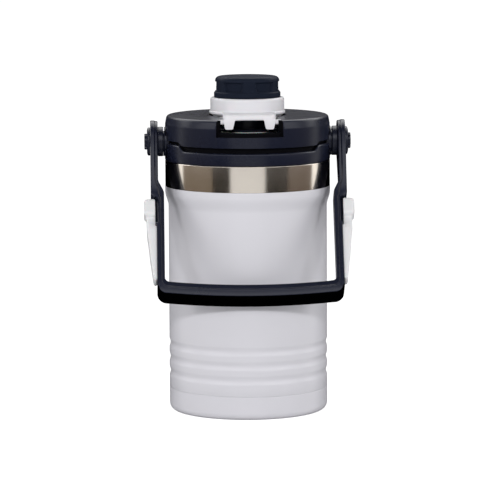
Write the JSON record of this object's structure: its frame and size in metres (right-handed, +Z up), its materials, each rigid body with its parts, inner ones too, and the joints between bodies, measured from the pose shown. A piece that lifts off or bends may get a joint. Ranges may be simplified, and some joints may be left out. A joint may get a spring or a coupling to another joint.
{
  "type": "large water jug",
  "caption": "Insulated steel water jug with a screw lid, a flip-and-twist drinking cap, and a swinging bail handle with fence hooks.",
  "frame": {"origin": "on the flask's axis, in the plane of the foot that it stands on", "axes": "+Z up along the flask's axis, -Y towards the front where the grip hangs and the cap hinges, +X to the right seen from the front"},
  "size_m": [0.168, 0.1565, 0.2706],
  "materials": {
    "powder_coat": "fine satin powder coat, pale warm grey",
    "brushed_steel": "bare stainless, fine brushing round the band",
    "plain_steel": "drawn or turned stainless",
    "navy_plastic": "moulded, satin, dark navy",
    "cap_plastic": "moulded, satin, darker navy",
    "white_plastic": "moulded, satin white",
    "hook_plastic": "moulded, satin off-white",
    "black_rubber": "soft black rubber",
    "clear_silicone": "translucent food-grade silicone, shown milky",
    "foam": "expanded foam"
  },
  "bodies": {
    "flask": {"outer_shell": "powder_coat", "steel_band": "brushed_steel", "base_cup": "powder_coat", "foot_pad": "black_rubber", "getter_cap": "plain_steel", "inner_flask": "plain_steel", "neck_thread": "plain_steel"},
    "neck_seal": {"neck_gasket": "clear_silicone"},
    "lid": {"lid_ring": "navy_plastic", "lid_shell": "navy_plastic", "lid_liner": "white_plastic", "lid_insulation": "foam", "spout": "navy_plastic", "spout_gasket": "clear_silicone", "pivot_bolt_left": "plain_steel", "pivot_bolt_right": "plain_steel", "pivot_spacer_left": "navy_plastic", "pivot_spacer_right": "navy_plastic", "pivot_knob_left": "navy_plastic", "pivot_knob_right": "navy_plastic"},
    "cap_carrier": {"cap_collar": "white_plastic", "hinge_pins": "white_plastic"},
    "cap": {"twist_cap": "cap_plastic", "cap_liner": "white_plastic", "cap_gasket": "clear_silicone", "cap_retainer": "white_plastic"},
    "bail": {"bail_frame": "navy_plastic", "grip_pad": "black_rubber", "fence_hook_left": "hook_plastic", "fence_hook_right": "hook_plastic", "hook_screws_left": "plain_steel", "hook_screws_right": "plain_steel"}
  },
  "joints": [
    {"name": "lid_lift", "type": "slide", "parent": "flask", "child": "neck_seal", "axis": [0, 0, 1], "range_m": [0, 0.12]},
    {"name": "lid_turn", "type": "hinge", "parent": "neck_seal", "child": "lid", "pos_m": [0, 0, 0.21], "axis": [0, 0, 1], "range_deg": [0, 540]},
    {"name": "bail_swing", "type": "hinge", "parent": "lid", "child": "bail", "pos_m": [0, 0, 0.2181], "axis": [-1, 0, 0], "range_deg": [0, 291]},
    {"name": "cap_flip", "type": "hinge", "parent": "lid", "child": "cap_carrier", "pos_m": [0, -0.053, 0.2378], "axis": [1, 0, 0], "range_deg": [0, 150]},
    {"name": "cap_twist", "type": "hinge", "parent": "cap_carrier", "child": "cap", "pos_m": [0, 0, 0.254], "axis": [0, 0, 1], "range_deg": [0, 120]}
  ]
}
